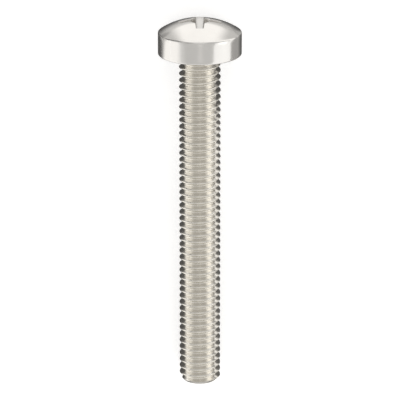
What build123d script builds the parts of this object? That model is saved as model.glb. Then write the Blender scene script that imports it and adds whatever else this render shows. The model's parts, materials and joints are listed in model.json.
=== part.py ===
from build123d import *

import os
from math import asin, atan2, ceil, cos, hypot, radians, sin, tan

# Pan head machine screw with a cross recess, M3 by 25, in millimetres.
# It lies as it comes to rest: on the lower edge of its head and the end of its thread.
# +Z is up, +Y runs towards the head, and the origin is on the floor under the middle.

# Head: an upright side under a shallow dome
head_diameter = 6.0
head_side_height = 1.62
dome_height = 0.93
seat_edge_radius = 0.1
rim_chamfer = 0.04

# Thread: right-hand, from the tip to the neck, with its crest and root drawn sharp
thread_diameter = 3.0
root_diameter = 2.387
thread_pitch = 0.5
shank_length = 25.0
point_chamfer = 0.3
first_crest_drop = 0.19

# Neck: the bare wire between the head and the thread, which starts inside it
neck_diameter = 2.68
neck_length = 0.45
runout_start = 0.2
seat_chamfer = 0.17

# Cross recess: four tapered wings round a pocket with a conical floor
recess_span = 3.1
wing_end_width = 0.54
wing_root_width = 0.66
corner_width = 1.45
wing_draft_angle = 3.5
wing_end_angle = 26.5
floor_diameter = 1.29
floor_angle = 28.0

# Radii and levels along the axis, counted from the seat under the head
head_radius = head_diameter / 2
thread_radius = thread_diameter / 2
root_radius = root_diameter / 2
neck_radius = neck_diameter / 2
tip_radius = thread_radius - point_chamfer
head_height = head_side_height + dome_height
dome_radius = (head_radius**2 + dome_height**2) / (2 * dome_height)
dome_centre_height = head_height - dome_radius

# Recess levels: its mouth is where the wing ends meet the dome
mouth_radius = recess_span / 2
mouth_height = dome_centre_height + (dome_radius**2 - mouth_radius**2) ** 0.5
wing_end_slope = tan(radians(wing_end_angle))
floor_edge_height = mouth_height - (mouth_radius - floor_diameter / 2) / wing_end_slope
floor_height = floor_edge_height - floor_diameter / 2 * tan(radians(floor_angle))
recess_top_radius = mouth_radius + (head_height - mouth_height) * wing_end_slope
wing_root = corner_width / 2**0.5 - wing_root_width / 2

# The lean of the axis, with the rounded edge of the head and the end of the thread on the floor
grounded_length = shank_length - point_chamfer + seat_edge_radius
radius_step = head_radius - seat_edge_radius - thread_radius
lean = atan2(radius_step, grounded_length) + asin(seat_edge_radius / hypot(grounded_length, radius_step))

# The seat's centre, with the screw's middle over the origin
tip_reach = shank_length * cos(lean) + tip_radius * sin(lean)
dome_reach = dome_centre_height * cos(lean) + dome_radius
seat_y = (tip_reach - dome_reach) / 2
seat_z = (shank_length - point_chamfer) * sin(lean) + thread_radius * cos(lean)

seat_centre = (0, seat_y, seat_z)
towards_head = Vector(0, cos(lean), sin(lean))
screw_axis = Axis(seat_centre, towards_head)
seat_plane = Plane(seat_centre, x_dir=(1, 0, 0), z_dir=towards_head)
section_plane = Plane(seat_centre, x_dir=(1, 0, 0), z_dir=(0, -sin(lean), cos(lean)))

# The space of the cross recess: a drafted cross, held inside a cone with a conical floor
with BuildPart() as recess:
    with BuildSketch(seat_plane.offset(head_height)):
        with PolarLocations(0, 4):
            Polygon(
                (0, 0),
                (wing_root, -wing_root_width / 2),
                (recess_top_radius, -wing_end_width / 2),
                (recess_top_radius, wing_end_width / 2),
                (wing_root, wing_root_width / 2),
                align=None,
            )
        Rectangle(corner_width, corner_width, rotation=45)
    extrude(amount=head_height - floor_height, dir=-towards_head, taper=wing_draft_angle)
    with BuildSketch(section_plane):
        with BuildLine():
            Polyline(
                (0, floor_height),
                (floor_diameter / 2, floor_edge_height),
                (recess_top_radius, head_height),
                (0, head_height),
                close=True,
            )
        make_face()
    revolve(axis=screw_axis, mode=Mode.INTERSECT)

# The wound skin of the thread, one flank below and one above each crest, closed at both ends
turns = ceil((shank_length - first_crest_drop) / thread_pitch + 1.5)
lowest_root = -first_crest_drop - (turns - 0.5) * thread_pitch
root_heights = [lowest_root + turn * thread_pitch for turn in range(turns + 1)]
roots = [Edge.make_helix(thread_pitch, thread_pitch, root_radius, (0, 0, height)) for height in root_heights]
crests = [
    Edge.make_helix(thread_pitch, thread_pitch, thread_radius, (0, 0, height + thread_pitch / 2))
    for height in root_heights[:-1]
]
skin = [Face.make_surface_from_curves(low, high) for low, high in zip(roots, crests)]
skin += [Face.make_surface_from_curves(low, high) for low, high in zip(crests, roots[1:])]
for end, height in ((roots[0], root_heights[0]), (roots[-1], root_heights[-1])):
    middle = Edge.make_line((0, 0, height), (0, 0, height + thread_pitch))
    ridge = Wire.make_polygon(
        [
            (0, 0, height),
            (root_radius, 0, height),
            (thread_radius, 0, height + thread_pitch / 2),
            (root_radius, 0, height + thread_pitch),
            (0, 0, height + thread_pitch),
        ]
    )
    skin += [Face.make_surface_from_curves(end, middle), Face(ridge)]
wound_skin = Solid(Shell(skin))

# The threaded shank: cut level at the tip, chamfered there, and run out at the neck
with BuildPart() as thread:
    add(seat_plane.location * wound_skin)
    with BuildSketch(section_plane):
        with BuildLine():
            Polyline(
                (0, -shank_length),
                (tip_radius, -shank_length),
                (head_radius, head_radius - tip_radius - shank_length),
                (head_radius, neck_radius - head_radius - runout_start),
                (neck_radius, -runout_start),
                (0, -runout_start),
                close=True,
            )
        make_face()
    revolve(axis=screw_axis, mode=Mode.INTERSECT)

# The screw: the turned head and neck, with the recess sunk in and the shank joined on
with BuildPart() as screw:
    with BuildSketch(section_plane) as half_section:
        with BuildLine():
            side = Polyline(
                (0, root_radius - neck_radius - neck_length),
                (root_radius, root_radius - neck_radius - neck_length),
                (neck_radius, -neck_length),
                (neck_radius, 0),
                (head_radius, 0),
                (head_radius, head_side_height),
            )
            dome = RadiusArc(side @ 1, (0, head_height), -dome_radius)
            Line(dome @ 1, side @ 0)
        make_face()
        fillet(half_section.vertices().sort_by_distance((head_radius, 0))[0], seat_edge_radius)
        chamfer(half_section.vertices().sort_by_distance((head_radius, head_side_height))[0], rim_chamfer)
        chamfer(half_section.vertices().sort_by_distance((neck_radius, 0))[0], seat_chamfer)
    revolve(axis=screw_axis)

    add(recess.part, mode=Mode.SUBTRACT)
    add(thread.part)

screw.part.label = "screw"

os.makedirs("parts", exist_ok=True)
export_step(screw.part, "parts/screw.step")
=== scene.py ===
import json
import logging
import math
from dataclasses import dataclass, field
from enum import Enum
from typing import Callable, Union

import bmesh
import bpy
from bmesh.types import BMEdge, BMesh, BMVert
from mathutils import Matrix, Quaternion, Vector


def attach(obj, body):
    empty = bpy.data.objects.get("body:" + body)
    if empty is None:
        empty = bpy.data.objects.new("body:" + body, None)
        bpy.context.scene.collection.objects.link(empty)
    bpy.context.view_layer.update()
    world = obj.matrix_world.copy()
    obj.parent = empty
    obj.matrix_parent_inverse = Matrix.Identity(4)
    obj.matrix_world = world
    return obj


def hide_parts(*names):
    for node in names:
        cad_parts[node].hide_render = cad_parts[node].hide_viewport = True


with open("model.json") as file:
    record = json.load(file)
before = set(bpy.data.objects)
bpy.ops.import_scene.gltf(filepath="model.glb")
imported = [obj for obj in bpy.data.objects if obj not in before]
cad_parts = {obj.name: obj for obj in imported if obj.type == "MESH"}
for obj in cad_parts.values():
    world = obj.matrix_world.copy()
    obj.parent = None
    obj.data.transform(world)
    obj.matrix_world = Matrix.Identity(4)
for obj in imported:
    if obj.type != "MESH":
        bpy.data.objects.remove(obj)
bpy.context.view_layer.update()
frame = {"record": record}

# A pan head machine screw, lying where it comes to rest, seen from above its head.
# The screw is modelled upright about its own axis in millimetres, with its seat at zero
# and its head towards +Z, and then turned into the frame, which is in metres.

MM = 0.001
DRIVER_MOUNT = "driver_recess"
log = logging.getLogger("pan_head_screw")

# In millimetres: two vertices this near are one, an edge this near to where it is looked
# for is found, and a cut this near to a vertex goes through it.
SAME_PLACE = 1e-4
FOUND = 1e-3
CUT_SNAP = 1e-5

Point = tuple[float, float]
Span = tuple[float, float]
Colour = tuple[float, float, float, float]
Loop = list[BMVert]
Value = Union["Signal", float]


def mount(name: str) -> dict:
    """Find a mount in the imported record.

    Args:
        name: The mount's name in the record.

    Returns:
        The mount's own entry, with its position in metres and its axis.
    """
    return next(m for m in frame["record"]["mounts"] if m["name"] == name)


def smooth_step(share: float) -> float:
    """Ease a share from 0 to 1, level at both ends."""
    held = min(max(share, 0.0), 1.0)
    return held * held * (3.0 - 2.0 * held)


def blend(one: float, other: float, share: float) -> float:
    """Give the value that lies a share of the way from one to the other."""
    return one + (other - one) * share


# Mesh work


def edges_between(loop: Loop) -> list[BMEdge]:
    """List the edges that join each vertex of a closed loop to the next."""
    pairs = zip(loop, loop[1:] + loop[:1])
    return [next(e for e in one.link_edges if e.other_vert(one) is other) for one, other in pairs]


def draw_loop(mesh: BMesh, places: list[Vector]) -> Loop:
    """Start a closed loop of edges.

    Args:
        mesh: The mesh that gets the loop.
        places: Where the loop's vertices lie, in order.

    Returns:
        The new vertices, in the same order.
    """
    loop = [mesh.verts.new(place) for place in places]
    for one, other in zip(loop, loop[1:] + loop[:1]):
        mesh.edges.new((one, other))
    return loop


def grow_loop(mesh: BMesh, loop: Loop, places: list[Vector]) -> Loop:
    """Extrude a closed loop and carry the new one to its places.

    Args:
        mesh: The mesh that holds the loop.
        loop: The loop to extrude.
        places: Where the new vertices go, in the loop's order.

    Returns:
        The new loop, in the same order.
    """
    grown = bmesh.ops.extrude_edge_only(mesh, edges=edges_between(loop))
    fresh = {part for part in grown["geom"] if isinstance(part, BMVert)}
    new_loop = []
    for vert, place in zip(loop, places):
        twin = next(e.other_vert(vert) for e in vert.link_edges if e.other_vert(vert) in fresh)
        twin.co = place
        new_loop.append(twin)
    return new_loop


def open_edges_near(mesh: BMesh, height: float, reach: float = 0.005) -> list[BMEdge]:
    """List the open edges whose two ends lie at one height.

    Args:
        mesh: The mesh to look in.
        height: The height, in millimetres.
        reach: How far from it an end may lie.

    Returns:
        The edges.
    """
    return [
        edge
        for edge in mesh.edges
        if edge.is_boundary and all(abs(vert.co.z - height) < reach for vert in edge.verts)
    ]


def add_piece(name: str, mesh: BMesh, material: bpy.types.Material) -> bpy.types.Object:
    """Put a finished mesh in the scene.

    Args:
        name: The name of the new object.
        mesh: Its shape, which is freed.
        material: What it is made of.

    Returns:
        The new object.
    """
    data = bpy.data.meshes.new(name)
    mesh.to_mesh(data)
    mesh.free()
    data.materials.append(material)
    piece = bpy.data.objects.new(name, data)
    bpy.context.scene.collection.objects.link(piece)
    return piece


@dataclass(frozen=True)
class RestingAxis:
    """Where the lying screw's own axis is in the frame.

    Attributes:
        seat: The middle of the seat under the head, in metres.
        towards_head: The direction from the tip to the head.
    """

    seat: Vector
    towards_head: Vector

    @classmethod
    def from_record(cls, head_height: float) -> "RestingAxis":
        """Take the axis from the recess mount, which is at the top of the dome.

        Args:
            head_height: The height of the dome's top over the seat, in millimetres.

        Returns:
            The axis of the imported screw.
        """
        driver = mount(DRIVER_MOUNT)
        towards_head = Vector(driver["axis"]).normalized()
        return cls(Vector(driver["pos_m"]) - towards_head * head_height * MM, towards_head)

    @property
    def turn(self) -> Matrix:
        """Work out the turn from the upright screw to the lying one.

        Returns:
            The turn, which leaves +X where it is.
        """
        across = Vector((1.0, 0.0, 0.0))
        down = self.towards_head.cross(across)
        return Matrix((across, down, self.towards_head)).transposed()

    @property
    def placing(self) -> Matrix:
        """The whole change from the upright screw in millimetres to the frame."""
        return Matrix.Translation(self.seat) @ self.turn.to_4x4() @ Matrix.Scale(MM, 4)


@dataclass(frozen=True)
class CrossRecess:
    """The driver recess: four tapered wings round a pocket with a conical floor.

    Attributes:
        span: Length over two wings at the surface.
        end_width: Width of a wing at its end, at the surface.
        root_width: Width of a wing where it meets the corner faces.
        corner_width: Width of the pocket across its four corner faces.
        wing_end_angle: Slope of the wing ends from the axis, in degrees.
        draft_angle: Slope of the wing sides from the axis, in degrees.
        floor_diameter: Diameter where the wing ends meet the floor.
        floor_angle: Slope of the floor from level, in degrees.
        lip_radius: Rounding of the mouth.
        end_steps: Points of a ring along the end of each wing.
        side_steps: Points along each side of a wing.
        corner_steps: Points along each corner face.
        wall_steps: Rings from the mouth to the floor.
    """

    span: float = 3.1
    end_width: float = 0.54
    root_width: float = 0.66
    corner_width: float = 1.45
    wing_end_angle: float = 26.5
    draft_angle: float = 3.5
    floor_diameter: float = 1.29
    floor_angle: float = 28.0
    lip_radius: float = 0.045
    end_steps: int = 6
    side_steps: int = 10
    corner_steps: int = 6
    wall_steps: int = 4

    @property
    def columns(self) -> int:
        """How many points one ring of the recess has."""
        return 4 * (self.end_steps + 2 * self.side_steps + self.corner_steps)

    def ring(self, reach: float, inset: float) -> list[Point]:
        """Lay out one level section of the recess.

        Args:
            reach: Distance from the axis to a wing's end.
            inset: How far the sides stand in from where they are at the surface.

        Returns:
            The section's points, anticlockwise from the first wing's clockwise edge.
        """
        end = self.end_width / 2 - inset
        root = self.root_width / 2 - inset
        corner = self.corner_width / 2 - inset
        tip_angle = math.asin(end / reach)
        tip = reach * math.cos(tip_angle)
        inner = corner * math.sqrt(2.0) - root
        points: list[Point] = []
        for quarter in range(4):
            wing: list[Point] = []
            for step in range(self.end_steps):
                angle = tip_angle * (2.0 * step / self.end_steps - 1.0)
                wing.append((reach * math.cos(angle), reach * math.sin(angle)))
            for step in range(self.side_steps):
                share = step / self.side_steps
                wing.append((blend(tip, inner, share), blend(end, root, share)))
            for step in range(self.corner_steps):
                share = step / self.corner_steps
                wing.append((blend(inner, root, share), blend(root, inner, share)))
            for step in range(self.side_steps):
                share = step / self.side_steps
                wing.append((blend(root, end, share), blend(inner, tip, share)))
            turn = Matrix.Rotation(quarter * math.pi / 2.0, 2)
            points += [tuple(turn @ Vector(point)) for point in wing]
        return points

    def mouth(self) -> list[Point]:
        """Lay out the section at the surface of the head."""
        return self.ring(self.span / 2, 0.0)

    def floor_edge(self, dome_height: Callable[[float], float]) -> list[Vector]:
        """Lay out the ring where the walls meet the conical floor.

        Args:
            dome_height: The height of the dome over the seat at a distance from the axis.

        Returns:
            The ring's places.
        """
        mouth_height = dome_height(self.span / 2)
        floor_radius = self.floor_diameter / 2
        depth = (self.span / 2 - floor_radius) / math.tan(math.radians(self.wing_end_angle))
        inset = depth * math.tan(math.radians(self.draft_angle))
        slope = math.tan(math.radians(self.floor_angle))
        lowest = mouth_height - depth - floor_radius * slope
        ring = self.ring(floor_radius, inset)
        return [Vector((x, y, lowest + math.hypot(x, y) * slope)) for x, y in ring]

    def sink(self, mesh: BMesh, mouth: Loop, dome_height: Callable[[float], float]) -> None:
        """Extrude the mouth down its walls and close it with the floor.

        Args:
            mesh: The head's mesh, with the mouth as an open loop.
            mouth: The loop on the dome.
            dome_height: The height of the dome over the seat at a distance from the axis.
        """
        top = [vert.co.copy() for vert in mouth]
        bottom = self.floor_edge(dome_height)
        loop = mouth
        for step in range(1, self.wall_steps + 1):
            share = step / self.wall_steps
            loop = grow_loop(mesh, loop, [high.lerp(low, share) for high, low in zip(top, bottom)])
        slope = math.tan(math.radians(self.floor_angle))
        apex = Vector((0.0, 0.0, bottom[0].z - self.floor_diameter / 2 * slope))
        loop = grow_loop(mesh, loop, [place.lerp(apex, 0.5) for place in bottom])
        floor = bmesh.ops.contextual_create(mesh, geom=edges_between(loop))["faces"]
        centre = bmesh.ops.poke(mesh, faces=floor)["verts"][0]
        centre.co = apex


@dataclass(frozen=True)
class PanHead:
    """The head: an upright side under a shallow dome.

    Attributes:
        diameter: Across the side.
        side_height: From the seat to the rim.
        dome_height: From the rim to the top of the dome.
        seat_edge_radius: Rounding of the lower edge.
        rim_radius: Rounding between the side and the dome.
        neck_radius: Rounding between the seat and the shank.
        mouth_crease: Least angle across an edge of the recess's mouth, in degrees.
        mouth_limit: Where the mouth's edges lie within, as a share of the rim's radius.
        dome_rings: Rings from the recess to the rim.
        side_rings: Rings from the seat to the rim.
        recess: The driver recess.
    """

    diameter: float = 6.0
    side_height: float = 1.62
    dome_height: float = 0.93
    seat_edge_radius: float = 0.1
    rim_radius: float = 0.06
    neck_radius: float = 0.1
    mouth_crease: float = 25.0
    mouth_limit: float = 0.9
    dome_rings: int = 18
    side_rings: int = 6
    recess: CrossRecess = field(default_factory=CrossRecess)

    @property
    def height(self) -> float:
        """From the seat to the top of the dome."""
        return self.side_height + self.dome_height

    def height_at(self, distance: float) -> float:
        """Give the height of the dome over the seat.

        Args:
            distance: How far from the axis.

        Returns:
            The height there.
        """
        rim = self.diameter / 2
        radius = (rim**2 + self.dome_height**2) / (2.0 * self.dome_height)
        return self.height - radius + math.sqrt(radius**2 - distance**2)

    @property
    def first_angle(self) -> float:
        """The angle of the first column, at the clockwise edge of the first wing."""
        return -math.pi * self.recess.end_steps / self.recess.columns

    def build_top(self, mesh: BMesh) -> None:
        """Draw the dome out from the recess to the rim, and sink the recess.

        Args:
            mesh: The head's mesh.
        """
        rim = self.diameter / 2
        columns = self.recess.columns
        inner = self.recess.mouth()
        angles = [self.first_angle + math.tau * column / columns for column in range(columns)]
        outer = [(rim * math.cos(angle), rim * math.sin(angle)) for angle in angles]
        lip = [Vector((x, y, self.height_at(math.hypot(x, y)))) for x, y in inner]
        mouth = draw_loop(mesh, lip)
        loop = mouth
        for ring in range(1, self.dome_rings + 1):
            share = ring / self.dome_rings
            flat = [Vector(near).lerp(Vector(far), share) for near, far in zip(inner, outer)]
            domed = [Vector((*spot, self.height_at(min(spot.length, rim)))) for spot in flat]
            loop = grow_loop(mesh, loop, domed)
        self.recess.sink(mesh, mouth, self.height_at)

    def build_side(self, mesh: BMesh, neck: Point) -> None:
        """Turn the rim, the side, the seat and the neck.

        Args:
            mesh: The head's mesh.
            neck: Radius and height where the neck ends.
        """
        rim = self.diameter / 2
        outline = [neck, (neck[0], 0.0), (rim, 0.0)]
        for ring in range(1, self.side_rings + 1):
            outline.append((rim, self.side_height * ring / self.side_rings))
        start = Matrix.Rotation(self.first_angle, 3, "Z")
        places = [start @ Vector((radius, 0.0, height)) for radius, height in outline]
        verts = [mesh.verts.new(place) for place in places]
        edges = [mesh.edges.new(pair) for pair in zip(verts, verts[1:])]
        bmesh.ops.spin(
            mesh, geom=verts + edges, cent=(0.0, 0.0, 0.0), axis=(0.0, 0.0, 1.0),
            angle=math.tau, steps=self.recess.columns, use_merge=True,
        )

    @staticmethod
    def _circle_edges(mesh: BMesh, radius: float, height: float) -> list[BMEdge]:
        """List the edges of a level circle.

        Args:
            mesh: The head's mesh.
            radius: The circle's radius.
            height: Its height over the seat.

        Returns:
            The edges.
        """
        return [
            edge
            for edge in mesh.edges
            if all(
                abs(vert.co.xy.length - radius) < FOUND and abs(vert.co.z - height) < FOUND
                for vert in edge.verts
            )
        ]

    def _mouth_edges(self, mesh: BMesh) -> list[BMEdge]:
        """List the edges round the mouth of the recess.

        Args:
            mesh: The head's mesh.

        Returns:
            The sharp edges that lie on the dome, well inside the rim.
        """
        crease = math.radians(self.mouth_crease)
        limit = self.diameter / 2 * self.mouth_limit

        def on_dome(vert: BMVert) -> bool:
            """Tell whether a vertex lies on the dome, inside the limit."""
            distance = vert.co.xy.length
            return distance < limit and abs(vert.co.z - self.height_at(distance)) < SAME_PLACE

        return [
            edge
            for edge in mesh.edges
            if edge.calc_face_angle(0.0) > crease and all(on_dome(vert) for vert in edge.verts)
        ]

    def round_edges(self, mesh: BMesh, neck_reach: float) -> None:
        """Round the rim, the lower edge, the neck and the mouth of the recess.

        Args:
            mesh: The head's mesh, with its parts merged.
            neck_reach: Radius of the neck.
        """
        rim = self.diameter / 2
        for edges, radius, segments in (
            (self._circle_edges(mesh, rim, self.side_height), self.rim_radius, 3),
            (self._circle_edges(mesh, rim, 0.0), self.seat_edge_radius, 5),
            (self._circle_edges(mesh, neck_reach, 0.0), self.neck_radius, 4),
            (self._mouth_edges(mesh), self.recess.lip_radius, 3),
        ):
            bmesh.ops.bevel(
                mesh, geom=edges, offset=radius, offset_type="OFFSET", segments=segments,
                profile=0.5, affect="EDGES", material=-1, clamp_overlap=True,
            )


@dataclass(frozen=True)
class RolledThread:
    """A right-hand metric thread of the basic form, with rounded crests and roots.

    Attributes:
        diameter: Over the crests.
        pitch: From one crest to the next.
        length: From the seat to the tip.
        blank_diameter: Of the wire, as it is left under the head.
        point_chamfer: Height and depth of the chamfer at the tip.
        plain_length: Height of the plain neck under the head.
        runout: Length over which the thread grows to its full depth.
        crest_phase: How far the crests lie below the seat at +X, in pitches.
        flank_angle: Slope of the flanks from the axis, in degrees.
        crest_share: Rounding of the crest, as a share of the sharp triangle's height.
        root_share: Rounding of the root, as the same share.
        join_share: How far down the plain neck the head's own mesh goes.
        tip_dish: Rings of the tip, each a share of its radius and its depth.
        spare_turns: Turns wound past the shank, so that both cuts meet whole thread.
        turn_steps: Steps in one turn.
        arc_steps: Steps over a crest.
    """

    diameter: float = 3.0
    pitch: float = 0.5
    length: float = 25.0
    blank_diameter: float = 2.68
    point_chamfer: float = 0.3
    plain_length: float = 0.16
    runout: float = 0.45
    crest_phase: float = 0.38
    flank_angle: float = 60.0
    crest_share: float = 1 / 8
    root_share: float = 1 / 6
    join_share: float = 0.8
    tip_dish: tuple[Point, ...] = ((0.94, 0.0), (0.8, 0.015), (0.4, 0.03))
    spare_turns: int = 3
    turn_steps: int = 96
    arc_steps: int = 4

    @property
    def tip_radius(self) -> float:
        """Radius of the flat tip."""
        return self.diameter / 2 - self.point_chamfer

    @property
    def join_height(self) -> float:
        """Height at which the head's own mesh ends, on the neck."""
        return -self.plain_length * self.join_share

    def outline(self) -> list[Point]:
        """Lay out one ridge of the thread, from root to root.

        Returns:
            Radius and height of each point, over one pitch.
        """
        flank = math.radians(self.flank_angle)
        triangle = self.pitch / 2 * math.tan(flank)
        crest_radius = triangle * self.crest_share
        root_radius = triangle * self.root_share
        crest = self.diameter / 2
        middle = self.pitch / 2
        sharp_root = crest + crest_radius - triangle
        steps = range(self.arc_steps + 1)
        angles = [flank * (2.0 * step / self.arc_steps - 1.0) for step in steps]
        root = [
            (sharp_root + root_radius * (2.0 - math.cos(angle)), root_radius * math.sin(angle))
            for angle in angles[len(angles) // 2 :]
        ]
        centre = crest - crest_radius
        ridge = [
            (centre + crest_radius * math.cos(angle), middle + crest_radius * math.sin(angle))
            for angle in angles
        ]
        return root + ridge + [(radius, self.pitch - height) for radius, height in reversed(root)]

    def wind(self, mesh: BMesh) -> None:
        """Wind the ridge up the shank and cut it level at the tip and the neck.

        Args:
            mesh: The shank's mesh.
        """
        # A crest stands half a pitch up its ridge, and one ridge or more rises over the seat.
        turns = math.ceil(self.length / self.pitch) + self.spare_turns
        lowest = -(self.crest_phase + turns - 1.5) * self.pitch
        ridge = self.outline()
        outline = ridge[:-1] + [(ridge[0][0], self.pitch)]
        verts = [mesh.verts.new((radius, 0.0, lowest + height)) for radius, height in outline]
        edges = [mesh.edges.new(pair) for pair in zip(verts, verts[1:])]
        bmesh.ops.spin(
            mesh, geom=verts + edges, cent=(0.0, 0.0, 0.0), axis=(0.0, 0.0, 1.0),
            dvec=(0.0, 0.0, self.pitch / self.turn_steps), angle=math.tau, steps=self.turn_steps,
        )
        wound = 1
        while wound < turns:
            copied = bmesh.ops.duplicate(mesh, geom=mesh.verts[:] + mesh.edges[:] + mesh.faces[:])
            raised = [part for part in copied["geom"] if isinstance(part, BMVert)]
            bmesh.ops.translate(mesh, verts=raised, vec=(0.0, 0.0, wound * self.pitch))
            wound *= 2
        bmesh.ops.remove_doubles(mesh, verts=mesh.verts, dist=SAME_PLACE)
        for height, outwards in ((-self.length, -1.0), (-self.plain_length, 1.0)):
            everything = mesh.verts[:] + mesh.edges[:] + mesh.faces[:]
            bmesh.ops.bisect_plane(
                mesh, geom=everything, dist=CUT_SNAP, plane_co=(0.0, 0.0, height),
                plane_no=(0.0, 0.0, outwards), clear_outer=True,
            )

    def trim(self, mesh: BMesh) -> None:
        """Chamfer the tip, and let the thread run out below the head.

        Args:
            mesh: The shank's mesh, wound and cut.
        """
        blank = self.blank_diameter / 2
        for vert in mesh.verts:
            radius = vert.co.xy.length
            depth = -vert.co.z - self.plain_length
            wanted = blend(blank, radius, smooth_step(depth / self.runout))
            wanted = min(wanted, self.tip_radius + vert.co.z + self.length)
            vert.co.xy *= wanted / radius

    def close_tip(self, mesh: BMesh) -> None:
        """Close the tip with a flat face that is slightly dished.

        Args:
            mesh: The shank's mesh, trimmed.
        """
        loop = open_edges_near(mesh, -self.length)
        for width, height in self.tip_dish:
            grown = bmesh.ops.extrude_edge_only(mesh, edges=loop)["geom"]
            loop = [part for part in grown if isinstance(part, BMEdge)]
            for vert in {vert for edge in loop for vert in edge.verts}:
                reach = self.tip_radius * width / vert.co.xy.length
                vert.co = (vert.co.x * reach, vert.co.y * reach, height - self.length)
        faces = bmesh.ops.contextual_create(mesh, geom=loop)["faces"]
        bmesh.ops.poke(mesh, faces=faces)


# Finishes

# The Mix node's factor, its two colours and its result, by place, as their names repeat.
MIX_SHARE, MIX_FIRST, MIX_SECOND, MIX_RESULT = 0, 6, 7, 2
# The value round which a noise spreads.
NOISE_MIDDLE = 0.5


class Maths(Enum):
    """The Math node's operations that the materials use."""

    ADD = "ADD"
    SUBTRACT = "SUBTRACT"
    MULTIPLY = "MULTIPLY"
    DIVIDE = "DIVIDE"
    SQUARE_ROOT = "SQRT"
    ARC_TANGENT = "ARCTAN2"
    ABSOLUTE = "ABSOLUTE"
    MAXIMUM = "MAXIMUM"


class Easing(Enum):
    """How a share goes from one end to the other."""

    STRAIGHT = "LINEAR"
    SMOOTH = "SMOOTHSTEP"


class Signal:
    """One value in a material, which Python's operators can work on."""

    def __init__(self, graph: "FinishGraph", socket: bpy.types.NodeSocket) -> None:
        """Keep the output socket that carries the value, and the graph it is in."""
        self.graph = graph
        self.socket = socket

    def _combine(self, how: Maths, first: Value, second: Value) -> "Signal":
        """Add the Math node that works out one operation."""
        return self.graph.add("ShaderNodeMath", {"operation": how.value}, [first, second])

    def __add__(self, other: Value) -> "Signal":
        """Add a value or a number."""
        return self._combine(Maths.ADD, self, other)

    def __radd__(self, other: float) -> "Signal":
        """Add to a number."""
        return self._combine(Maths.ADD, other, self)

    def __sub__(self, other: Value) -> "Signal":
        """Subtract a value or a number."""
        return self._combine(Maths.SUBTRACT, self, other)

    def __rsub__(self, other: float) -> "Signal":
        """Subtract from a number."""
        return self._combine(Maths.SUBTRACT, other, self)

    def __mul__(self, other: Value) -> "Signal":
        """Multiply by a value or a number."""
        return self._combine(Maths.MULTIPLY, self, other)

    def __rmul__(self, other: float) -> "Signal":
        """Multiply a number."""
        return self._combine(Maths.MULTIPLY, other, self)

    def __truediv__(self, other: Value) -> "Signal":
        """Divide by a value or a number."""
        return self._combine(Maths.DIVIDE, self, other)

    def through(self, how: Maths, other: Value = 0.0) -> "Signal":
        """Put the value through an operation that Python has no sign for."""
        return self._combine(how, self, other)


class FinishGraph:
    """The node graph of one material."""

    def __init__(self, tree: bpy.types.NodeTree) -> None:
        """Start an empty graph in a node tree."""
        self.tree = tree
        tree.nodes.clear()

    def add(
        self, kind: str, settings: dict | None = None, inputs: dict | list | None = None,
        output: int | str = 0,
    ) -> Signal | None:
        """Add a node, set it up and feed it.

        Args:
            kind: The node's type.
            settings: The node's own settings.
            inputs: Values or signals for its sockets, by name or in order.
            output: Which of its outputs to give back.

        Returns:
            The output as a signal, or None for a node that has no output.
        """
        node = self.tree.nodes.new(kind)
        for name, value in (settings or {}).items():
            setattr(node, name, value)
        pairs = inputs.items() if isinstance(inputs, dict) else enumerate(inputs or [])
        for name, value in pairs:
            if isinstance(value, Signal):
                self.tree.links.new(value.socket, node.inputs[name])
            else:
                node.inputs[name].default_value = value
        return Signal(self, node.outputs[output]) if node.outputs else None

    def split(self, vector: Signal) -> tuple[Signal, Signal, Signal]:
        """Split a vector into its three parts."""
        node = self.add("ShaderNodeSeparateXYZ", None, [vector]).socket.node
        return tuple(Signal(self, socket) for socket in node.outputs)

    def settle(self, middle: Vector, turn: Matrix, scale: Vector) -> Signal:
        """Give the object's coordinates as they are about a place of its own.

        Args:
            middle: Where the place is, in metres.
            turn: How it is turned.
            scale: How long one unit is along each of its axes, in metres.

        Returns:
            The coordinates.
        """
        place = self.add("ShaderNodeTexCoord", output="Object")
        return self.add(
            "ShaderNodeMapping",
            {"vector_type": "TEXTURE"},
            {"Vector": place, "Location": middle, "Rotation": turn.to_euler(), "Scale": scale},
        )

    def fade(
        self, value: Signal, start: float, end: float,
        rising: bool = True, easing: Easing = Easing.SMOOTH,
    ) -> Signal:
        """Turn a value into a share between 0 and 1.

        Args:
            value: The value to follow.
            start: Where the share starts to change.
            end: Where it has changed fully.
            rising: Whether it goes from 0 to 1, or else from 1 to 0.
            easing: How it goes.

        Returns:
            The share, which stays level outside the two places.
        """
        ends = (0.0, 1.0) if rising else (1.0, 0.0)
        settings = {"interpolation_type": easing.value}
        return self.add("ShaderNodeMapRange", settings, [value, start, end, *ends])

    def mix(self, share: Signal, one: Signal | Colour, other: Signal | Colour) -> Signal:
        """Mix two colours by a share."""
        inputs = {MIX_SHARE: share, MIX_FIRST: one, MIX_SECOND: other}
        return self.add("ShaderNodeMix", {"data_type": "RGBA"}, inputs, MIX_RESULT)

    def noise(self, place: Signal, scale: float, detail: float, rough: float = 0.5) -> Signal:
        """Add a noise over some coordinates."""
        inputs = {"Vector": place, "Scale": scale, "Detail": detail, "Roughness": rough}
        return self.add("ShaderNodeTexNoise", None, inputs)


@dataclass(frozen=True)
class Pattern:
    """A pattern in the metal, and how much it changes it.

    Attributes:
        scale: How fine it is, per millimetre.
        detail: How many finer layers it has.
        tone: What it adds to the brightness.
        roughness: What it adds to the roughness.
        relief: What it adds to the height, as a share of the relief's depth.
    """

    scale: float
    detail: float = 0.0
    tone: float = 0.0
    roughness: float = 0.0
    relief: float = 0.0


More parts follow.
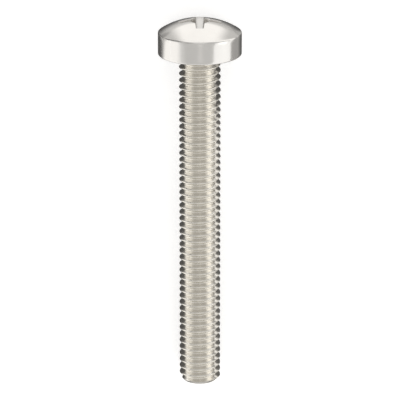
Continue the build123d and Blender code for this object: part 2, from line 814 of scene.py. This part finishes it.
@dataclass(frozen=True)
class PolishedStainless:
    """Bright stainless steel, a little warmer in the thread than on the head.

    Lengths are in millimetres, and a band is a pair of depths under the crests.

    Attributes:
        head_colour: Base colour of the head.
        thread_colour: Base colour of the thread's flanks.
        root_highlight_colour: Painted highlight: a brighter base colour along the bottom of the
            thread, for the highlight lines in the roots.
        crest_highlight_colour: Painted highlight tone: a slightly brighter base colour of the
            crests' own, which sets how bright their highlight lines show.
        head_fade: How far under the seat the head's colour fades out.
        root_band: Where the root's painted highlight colour and its added roughness are full, and
            where they end.
        crest_band: Where the crests' painted highlight tone starts, and where it is full.
        tone: Brightness where no pattern changes it.
        roughness: Roughness where no pattern changes it.
        root_roughness: What the bottom of the thread adds to it.
        streaks: Fine streaks round the screw.
        streak_turn: How fine the streaks are round the axis, per radian.
        streak_rough: How strong their finer layers are.
        cloud: Faint clouding.
        grain: Fine grain.
        pits: Shallow pits.
        pit_edge: Where a pit starts to rise from its bottom, and where it ends.
        pit_spread: The clouding at which the pits start to show, and show fully.
        relief_strength: How strongly the relief shows.
        relief_depth: How deep the relief is.
    """

    head_colour: Colour = (0.74, 0.725, 0.70, 1.0)
    thread_colour: Colour = (0.76, 0.736, 0.686, 1.0)
    root_highlight_colour: Colour = (0.815, 0.785, 0.718, 1.0)
    crest_highlight_colour: Colour = (0.79, 0.76, 0.692, 1.0)
    head_fade: float = 0.15
    root_band: Span = (0.295, 0.225)
    crest_band: Span = (0.045, 0.01)
    tone: float = 0.93
    roughness: float = 0.18
    root_roughness: float = 0.08
    streaks: Pattern = Pattern(scale=26.0, detail=5.0, tone=0.05, roughness=0.1, relief=0.35)
    streak_turn: float = 2.2
    streak_rough: float = 0.6
    cloud: Pattern = Pattern(scale=1.1, detail=3.0, tone=0.09, roughness=0.05)
    grain: Pattern = Pattern(scale=22.0, detail=4.0, relief=0.25)
    pits: Pattern = Pattern(scale=7.0, tone=-0.25, roughness=0.15, relief=-1.0)
    pit_edge: Span = (0.03, 0.11)
    pit_spread: Span = (0.52, 0.62)
    relief_strength: float = 0.25
    relief_depth: float = 0.004

    def material(self, axis: RestingAxis, thread: RolledThread) -> bpy.types.Material:
        """Make the material, with its pattern set on the screw's own axis.

        Args:
            axis: Where the screw lies.
            thread: The sizes of the thread.

        Returns:
            The new material.
        """
        material = bpy.data.materials.new("polished_stainless")
        material.use_nodes = True
        graph = FinishGraph(material.node_tree)
        local = graph.settle(axis.seat, axis.turn, Vector((MM, MM, MM)))
        across, down, along = graph.split(local)
        radius = (across * across + down * down).through(Maths.SQUARE_ROOT)
        angle = down.through(Maths.ARC_TANGENT, across)

        on_head = graph.fade(along, -self.head_fade, 0.0)
        on_thread = 1.0 - on_head
        root = [thread.diameter / 2 - depth for depth in self.root_band]
        crest = [thread.diameter / 2 - depth for depth in self.crest_band]
        # Painted highlight: the roots get a brighter base colour of their own, and more roughness.
        in_root = graph.fade(radius, *root, rising=False) * on_thread
        # Painted highlight: the crests get a slightly brighter base colour of their own, which sets
        # how bright their highlight lines show.
        on_crest = graph.fade(radius, *crest) * on_thread

        fine = self.streaks.scale
        rolled = graph.add(
            "ShaderNodeCombineXYZ", None, [angle * self.streak_turn, along * fine, radius * fine]
        )
        streaks = graph.noise(rolled, 1.0, self.streaks.detail, self.streak_rough)
        cloud = graph.noise(local, self.cloud.scale, self.cloud.detail)
        grain = graph.noise(local, self.grain.scale, self.grain.detail)
        cells = graph.add("ShaderNodeTexVoronoi", None, {"Vector": local, "Scale": self.pits.scale})
        pit_depth = graph.fade(cells, *self.pit_edge, rising=False, easing=Easing.STRAIGHT)
        pits = pit_depth * graph.fade(cloud, *self.pit_spread, easing=Easing.STRAIGHT)

        colour = graph.mix(on_head, self.thread_colour, self.head_colour)
        # Painted highlight along the roots.
        colour = graph.mix(in_root, colour, self.root_highlight_colour)
        # Painted highlight tone along the crests.
        colour = graph.mix(on_crest, colour, self.crest_highlight_colour)
        tone = self.tone + self.cloud.tone * cloud + self.streaks.tone * streaks
        tone = tone + self.pits.tone * pits
        roughness = (
            self.roughness
            + self.streaks.roughness * (streaks - NOISE_MIDDLE)
            + self.cloud.roughness * (cloud - NOISE_MIDDLE)
            + self.pits.roughness * pits
            + self.root_roughness * in_root
        )
        height = self.streaks.relief * streaks + self.grain.relief * grain
        relief = {
            "Strength": self.relief_strength,
            "Distance": self.relief_depth * MM,
            "Height": height + self.pits.relief * pits,
        }
        steel = {
            "Base Color": graph.add(
                "ShaderNodeVectorMath", {"operation": "SCALE"}, {0: colour, "Scale": tone}
            ),
            "Metallic": 1.0,
            "Roughness": roughness,
            "Normal": graph.add("ShaderNodeBump", None, relief),
        }
        shader = graph.add("ShaderNodeBsdfPrincipled", None, steel)
        graph.add("ShaderNodeOutputMaterial", None, {"Surface": shader})
        return material


# The screw


@dataclass(frozen=True)
class MachineScrew:
    """The whole screw, one closed mesh from the recess to the tip.

    Attributes:
        head: The head and its recess.
        thread: The threaded shank.
        finish: What the metal looks like.
        crease_angle: Angle from which an edge is shaded sharp, in degrees.
    """

    head: PanHead = field(default_factory=PanHead)
    thread: RolledThread = field(default_factory=RolledThread)
    finish: PolishedStainless = field(default_factory=PolishedStainless)
    crease_angle: float = 38.0

    @property
    def axis(self) -> RestingAxis:
        """Where the screw lies."""
        return RestingAxis.from_record(self.head.height)

    def build(self) -> bpy.types.Object:
        """Model the screw, lay it in the frame and dress it.

        Returns:
            The finished piece.
        """
        mesh = bmesh.new()
        self.thread.wind(mesh)
        self.thread.trim(mesh)
        self.thread.close_tip(mesh)
        self._add_head(mesh)
        self._join(mesh)
        bmesh.ops.recalc_face_normals(mesh, faces=mesh.faces)
        self._mark_creases(mesh)
        bmesh.ops.transform(mesh, matrix=self.axis.placing, verts=mesh.verts)
        return add_piece("screw_body", mesh, self.finish.material(self.axis, self.thread))

    def _add_head(self, mesh: BMesh) -> None:
        """Model the head on its own, and add it to the shank.

        Args:
            mesh: The shank's mesh.
        """
        part = bmesh.new()
        blank = self.thread.blank_diameter / 2
        self.head.build_top(part)
        self.head.build_side(part, (blank, self.thread.join_height))
        bmesh.ops.remove_doubles(part, verts=part.verts, dist=SAME_PLACE)
        bmesh.ops.recalc_face_normals(part, faces=part.faces)
        self.head.round_edges(part, blank)
        data = bpy.data.meshes.new("head")
        part.to_mesh(data)
        part.free()
        mesh.from_mesh(data)
        bpy.data.meshes.remove(data)

    def _join(self, mesh: BMesh) -> None:
        """Bridge the shank to the neck, and report whether the mesh is closed.

        Args:
            mesh: The mesh of the shank and the head.
        """
        upper = open_edges_near(mesh, self.thread.join_height)
        lower = open_edges_near(mesh, -self.thread.plain_length)
        bmesh.ops.bridge_loops(mesh, edges=upper + lower)
        loose = sum(1 for edge in mesh.edges if not edge.is_manifold)
        log.info("open or crossed edges: %d, faces: %d", loose, len(mesh.faces))

    def _mark_creases(self, mesh: BMesh) -> None:
        """Shade the faces smooth, with a crease at each sharp edge.

        Args:
            mesh: The whole screw's mesh.
        """
        limit = math.radians(self.crease_angle)
        for face in mesh.faces:
            face.smooth = True
        for edge in mesh.edges:
            edge.smooth = edge.calc_face_angle(0.0) < limit


# The studio


@dataclass(frozen=True, kw_only=True)
class Stand:
    """Where a thing stands, and how large it looks from the middle of the floor.

    Attributes:
        bearing: Where it stands round the floor from +X towards +Y, in degrees.
        low: The height of its lower edge over the floor, in degrees.
        high: The height of its upper edge, in degrees.
        width: Across, in degrees.
        distance: How far off it is, in metres.
    """

    bearing: float
    low: float
    high: float
    width: float
    distance: float = 0.4

    @property
    def away(self) -> Vector:
        """Give the direction to its middle.

        Returns:
            The direction, one long.
        """
        turn = math.radians(self.bearing)
        rise = math.radians((self.low + self.high) / 2)
        level = math.cos(rise)
        return Vector((math.cos(turn) * level, math.sin(turn) * level, math.sin(rise)))

    @property
    def half(self) -> Vector:
        """Give its size.

        Returns:
            Half its width and half its height, in metres.
        """
        across = math.tan(math.radians(self.width / 2))
        upwards = math.tan(math.radians((self.high - self.low) / 2))
        return Vector((across, upwards, 1.0)) * self.distance

    @property
    def facing(self) -> Quaternion:
        """How it turns to face the middle."""
        return self.away.to_track_quat("Z", "Y")


@dataclass(frozen=True)
class Softbox(Stand):
    """A square lamp that shows only in what it lights.

    Attributes:
        name: The lamp's name.
        radiance: How much its face adds to what is behind it, where 1 is white.
        distance: How far off it is, in metres.
    """

    name: str
    radiance: float
    distance: float = field(default=0.6, kw_only=True)

    def hang(self, target: Vector) -> bpy.types.Object:
        """Hang the lamp so that it faces a point.

        Args:
            target: The point it lights.

        Returns:
            The lamp.
        """
        lamp = bpy.data.lights.new(self.name, "AREA")
        lamp.shape = "RECTANGLE"
        lamp.size = 2.0 * self.half.x
        lamp.size_y = 2.0 * self.half.y
        lamp.energy = self.radiance * math.pi * lamp.size * lamp.size_y
        holder = bpy.data.objects.new(self.name, lamp)
        holder.location = target + self.away * self.distance
        holder.rotation_euler = self.facing.to_euler()
        bpy.context.scene.collection.objects.link(holder)
        return holder


@dataclass(frozen=True)
class MirrorCard:
    """A soft-edged card that only the metal mirrors.

    Attributes:
        name: The card's name.
        level: How bright it is, where 1 is white.
        soft: Width of the soft edge, as shares of half its width and half its length.
        narrow: Its width at the lower or front edge, as a share of its full width.
        tint: The colour of its light.
    """

    name: str
    level: float
    soft: Span = (0.3, 0.3)
    narrow: float = 1.0
    tint: Colour = (1.0, 0.985, 0.965, 1.0)

    def _hold(self, middle: Vector, turn: Matrix, half: Vector) -> bpy.types.Object:
        """Make the card and keep it out of everything but mirrored rays.

        Args:
            middle: The card's centre, in metres.
            turn: The card's own turn from lying flat.
            half: Half its width and half its length, in metres.

        Returns:
            The card.
        """
        mesh = bmesh.new()
        size = Matrix.Diagonal((half.x, half.y, 1.0, 1.0))
        place = Matrix.Translation(middle) @ turn.to_4x4() @ size
        bmesh.ops.create_grid(mesh, x_segments=1, y_segments=1, size=1.0, matrix=place)
        card = add_piece(self.name, mesh, self._material(middle, turn, half))
        card.visible_camera = False
        card.visible_diffuse = False
        card.visible_shadow = False
        return card

    def _material(self, middle: Vector, turn: Matrix, half: Vector) -> bpy.types.Material:
        """Make the card's glow, which fades out at its edges.

        Args:
            middle: The card's centre, in metres.
            turn: The card's own turn from lying flat.
            half: Half its width and half its length, in metres.

        Returns:
            The new material.
        """
        material = bpy.data.materials.new(self.name)
        material.use_nodes = True
        graph = FinishGraph(material.node_tree)
        across, along, _ = graph.split(graph.settle(middle, turn, half))
        width = (along + 1.0) * (0.5 - 0.5 * self.narrow) + self.narrow
        sideways = (across / width).through(Maths.ABSOLUTE)
        lengthways = along.through(Maths.ABSOLUTE)
        inside = graph.fade(sideways, 1.0 - self.soft[0], 1.0, rising=False)
        inside = inside * graph.fade(lengthways, 1.0 - self.soft[1], 1.0, rising=False)
        clear = graph.add("ShaderNodeBsdfTransparent")
        glow = graph.add("ShaderNodeEmission", None, {"Color": self.tint, "Strength": self.level})
        shown = graph.add("ShaderNodeMixShader", None, [inside, clear, glow])
        graph.add("ShaderNodeOutputMaterial", None, {"Surface": shown})
        return material


@dataclass(frozen=True, kw_only=True)
class FloorCard(MirrorCard):
    """A card that lies over the floor.

    Attributes:
        x: Its edges towards -X and +X, in millimetres.
        y: Its edges towards -Y and +Y.
        z: How high it lies over the floor.
        bearing: How far the whole card is turned round the origin, in degrees.
    """

    x: Span
    y: Span
    z: float
    bearing: float = 0.0

    def put(self) -> bpy.types.Object:
        """Lay the card over the floor.

        Returns:
            The card.
        """
        middle = Vector((sum(self.x) / 2, sum(self.y) / 2, self.z)) * MM
        half = Vector(((self.x[1] - self.x[0]) / 2, (self.y[1] - self.y[0]) / 2, 1.0)) * MM
        turn = Matrix.Rotation(math.radians(self.bearing), 3, "Z")
        return self._hold(turn @ middle, turn, half)


@dataclass(frozen=True, kw_only=True)
class StandingCard(MirrorCard, Stand):
    """A card that stands some way off and faces the screw."""

    def put(self) -> bpy.types.Object:
        """Stand the card up."""
        return self._hold(self.away * self.distance, self.facing.to_matrix(), self.half)


@dataclass(frozen=True)
class Studio:
    """A pale floor, soft light from all round, and the camera over the head.

    Attributes:
        focal_pixels: The lens's focal length, in pixels of the picture.
        picture_pixels: The picture's width, in pixels.
        sensor_width: The sensor's width, in millimetres.
        clip_range: The nearest and the farthest that the camera sees, in metres.
        tilt_angle: How far the camera looks down on the head, in degrees.
        distance: From the camera to the seat along the line of sight, in millimetres.
        seat_across: How far the seat lies to the right of the view's centre, in millimetres.
        seat_above: How far the seat lies above the view's centre, in millimetres.
        floor_size: The floor's width and length, in metres.
        floor_colour: The floor's base colour.
        floor_roughness: The floor's roughness.
        floor_lift: What the floor adds where it is seen or mirrored, where 1 is white.
        world_colour: The colour of the surroundings.
        world_level: How bright the surroundings are, where 1 is white.
        lamps: The lamps.
        cards: The cards that only the metal mirrors.
    """

    focal_pixels: float = 2963.35
    picture_pixels: float = 400.0
    sensor_width: float = 36.0
    clip_range: Span = (0.01, 20.0)
    tilt_angle: float = 18.95
    distance: float = 211.98
    seat_across: float = -0.0111
    seat_above: float = 10.4546
    floor_size: float = 3.0
    floor_colour: Colour = (0.92, 0.92, 0.92, 1.0)
    floor_roughness: float = 0.9
    floor_lift: float = 0.42
    world_colour: Colour = (1.0, 0.99, 0.975, 1.0)
    world_level: float = 0.67
    lamps: tuple[Softbox, ...] = (
        Softbox("left_softbox", bearing=197, low=0, high=22, width=80, radiance=0.26),
        Softbox("left_middle_softbox", bearing=200, low=0, high=34, width=75, radiance=0.24),
        Softbox("left_top_softbox", bearing=205, low=0, high=44, width=70, radiance=0.11),
        Softbox("right_softbox", bearing=-26, low=0, high=48, width=72, radiance=0.57),
        Softbox("tip_softbox", bearing=-90, low=20, high=56, width=50, radiance=0.3),
        Softbox("head_softbox", bearing=90, low=42, high=62, width=30, radiance=0.38),
        Softbox("right_back_softbox", bearing=48, low=0, high=16, width=40, radiance=0.25),
    )
    # The dark floor cards under and beside the screw are painted shade: they stand in for the
    # floor's shade round the screw where the metal mirrors it, and cast no shadow of their own.
    cards: tuple[MirrorCard, ...] = (
        FloorCard("left_reflector", x=(-160, 5), y=(-60, 15), z=0.01, level=1.25, soft=(0.06, 0.1)),
        FloorCard("back_card", x=(-40, 40), y=(8, 110), z=0.012, level=0.68, soft=(0.5, 0.06)),
        FloorCard(
            "left_back_flag", x=(-140, -11), y=(15, 120), z=0.013, level=0.15, soft=(0.06, 0.06)
        ),
        # Painted shade: a dark card by the head, mirrored in the left edge of the dome.
        FloorCard(
            "dome_edge_flag", x=(-12, -3.6), y=(13.2, 17.6), z=0.0135, level=0.31, soft=(0.5, 0.45)
        ),
        FloorCard(
            "right_back_reflector", x=(7.5, 140), y=(14.5, 120), z=0.014,
            level=1.3, soft=(0.04, 0.03),
        ),
        FloorCard(
            "head_shade", x=(-15.5, 15.5), y=(7, 15.3), z=0.017,
            level=0.12, soft=(0.66, 0.6), narrow=0.86,
        ),
        FloorCard(
            "thread_shade", x=(-8.5, 8.5), y=(-40, 12), z=0.016,
            level=0.1, soft=(0.64, 0.1), narrow=0.85,
        ),
        FloorCard("right_reflector", x=(0, 60), y=(-40, 10), z=0.018, level=0.75, soft=(0.06, 0.1)),
        FloorCard("right_shade", x=(5, 13.5), y=(-40, 12), z=0.0185, level=0.31, soft=(0.3, 0.1)),
        # Painted shade: a dark card along the right of the shank, for the floor's shade that its
        # thread mirrors.
        FloorCard("thread_flag", x=(0, 3.9), y=(-40, 14), z=0.019, level=0.14, soft=(0.3, 0.1)),
        FloorCard(
            "bright_strip", x=(3.8, 5.6), y=(-40, 10.4), z=0.031, level=1.25, soft=(0.4, 0.04)
        ),
        FloorCard(
            "right_flag", x=(-3, 64), y=(9.3, 16.5), z=0.02, bearing=-20,
            level=0.42, soft=(0.1, 0.3),
        ),
        # Painted shade: a dark card under the head and the top of the shank, for the floor's shade
        # round them.
        FloorCard("dark_flag", x=(-8.4, 8.4), y=(7, 15.3), z=0.03, level=0.1, soft=(0.5, 0.6)),
        FloorCard(
            "bright_strip_end", x=(3.6, 5.4), y=(12.7, 15.3), z=0.031, level=0.5, soft=(0.5, 0.4)
        ),
        FloorCard("tip_card", x=(-5, 5), y=(-34, -15.5), z=0.032, level=0.6, soft=(0.4, 0.3)),
        FloorCard(
            "head_reflector", x=(-82.5, 82.5), y=(15.68, 170), z=0.035,
            level=1.28, soft=(0.5, 0.012), narrow=0.0533,
        ),
        StandingCard(
            "left_flank_card", bearing=122, low=0, high=5.6, width=21, distance=0.0137, level=0.8
        ),
        StandingCard(
            "right_flank_card", bearing=48, low=0, high=8.4, width=46, distance=0.0099,
            level=0.9, soft=(0.2, 0.3),
        ),
        StandingCard(
            "right_flank_flag", bearing=56, low=0, high=4.8, width=25, distance=0.018,
            level=0.46, soft=(0.2, 0.3),
        ),
        StandingCard(
            "right_window", bearing=-1, low=10, high=41, width=24, level=1.75, soft=(0.25, 0.3)
        ),
        StandingCard(
            "left_window", bearing=184, low=-1, high=33, width=32, level=1.25, soft=(0.25, 0.35)
        ),
        StandingCard("low_flag", bearing=8, low=0, high=9, width=28, level=0.65, soft=(0.2, 0.3)),
        StandingCard(
            "top_card", bearing=-84, low=69, high=87, width=16, level=0.85, soft=(0.6, 0.6)
        ),
        StandingCard("high_right_flag", bearing=64, low=16, high=42, width=20, level=0.45),
        StandingCard("high_left_flag", bearing=116, low=12, high=38, width=20, level=0.48),
        StandingCard("slot_flag", bearing=132, low=34, high=54, width=24, level=0.42),
        StandingCard(
            "back_flag", bearing=144, low=0, high=14, width=44, level=0.25, soft=(0.15, 0.2)
        ),
    )

    def set_camera(self, axis: RestingAxis) -> None:
        """Put the camera where the photograph was taken from.

        Args:
            axis: Where the screw lies.
        """
        tilt = math.radians(self.tilt_angle)
        across = Vector((1.0, 0.0, 0.0))
        off_axis = across.cross(axis.towards_head)
        upwards = axis.towards_head * math.cos(tilt) - off_axis * math.sin(tilt)
        backwards = axis.towards_head * math.sin(tilt) + off_axis * math.cos(tilt)
        in_view = across * self.seat_across + upwards * self.seat_above - backwards * self.distance
        camera = bpy.data.cameras.new("camera")
        camera.sensor_width = self.sensor_width
        camera.lens = self.focal_pixels * self.sensor_width / self.picture_pixels
        camera.clip_start, camera.clip_end = self.clip_range
        holder = bpy.data.objects.new("camera", camera)
        turn = Matrix((across, upwards, backwards)).transposed().to_4x4()
        holder.matrix_world = Matrix.Translation(axis.seat - in_view * MM) @ turn
        bpy.context.scene.collection.objects.link(holder)
        bpy.context.scene.camera = holder

    def lay_floor(self) -> None:
        """Lay the pale floor under the screw."""
        mesh = bmesh.new()
        bmesh.ops.create_grid(mesh, x_segments=1, y_segments=1, size=self.floor_size / 2)
        floor = add_piece("floor", mesh, self._paper())

    def _paper(self) -> bpy.types.Material:
        """Make the floor's paper, which shows white where it is seen or mirrored.

        Returns:
            The new material.
        """
        material = bpy.data.materials.new("white_paper")
        material.use_nodes = True
        graph = FinishGraph(material.node_tree)
        seen, mirrored, transmitted = [
            graph.add("ShaderNodeLightPath", output=name)
            for name in ("Is Camera Ray", "Is Glossy Ray", "Is Transmission Ray")
        ]
        shows = seen.through(Maths.MAXIMUM, mirrored).through(Maths.MAXIMUM, transmitted)
        paper = {
            "Base Color": self.floor_colour,
            "Roughness": self.floor_roughness,
            "Emission Color": graph.mix(shows, (0.0, 0.0, 0.0, 1.0), (1.0, 1.0, 1.0, 1.0)),
            "Emission Strength": self.floor_lift,
        }
        shader = graph.add("ShaderNodeBsdfPrincipled", None, paper)
        graph.add("ShaderNodeOutputMaterial", None, {"Surface": shader})
        return material

    def put_cards(self) -> None:
        """Put up the cards that the metal mirrors."""
        for card in self.cards:
            card.put()

    def light(self, target: Vector) -> None:
        """Hang the lamps and set the pale surroundings.

        Args:
            target: The point that the lamps face.
        """
        for softbox in self.lamps:
            softbox.hang(target)
        world = bpy.data.worlds.new("studio")
        bpy.context.scene.world = world
        world.use_nodes = True
        graph = FinishGraph(world.node_tree)
        glow = {"Color": self.world_colour, "Strength": self.world_level}
        shade = graph.add("ShaderNodeBackground", None, glow)
        graph.add("ShaderNodeOutputWorld", None, {"Surface": shade})


def main() -> None:
    """Build the screw and the studio round it."""
    logging.basicConfig(level=logging.INFO, format="%(name)s: %(message)s")
    screw = MachineScrew()
    piece = screw.build()
    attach(piece, "root")
    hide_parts("screw")
    log.info("%s: %d faces", piece.name, len(piece.data.polygons))
    studio = Studio()
    studio.set_camera(screw.axis)
    studio.lay_floor()
    studio.put_cards()
    studio.light(Vector((0.0, 0.0, 0.0)))
    bpy.context.scene.view_settings.view_transform = "Standard"


if __name__ == "__main__":
    main()
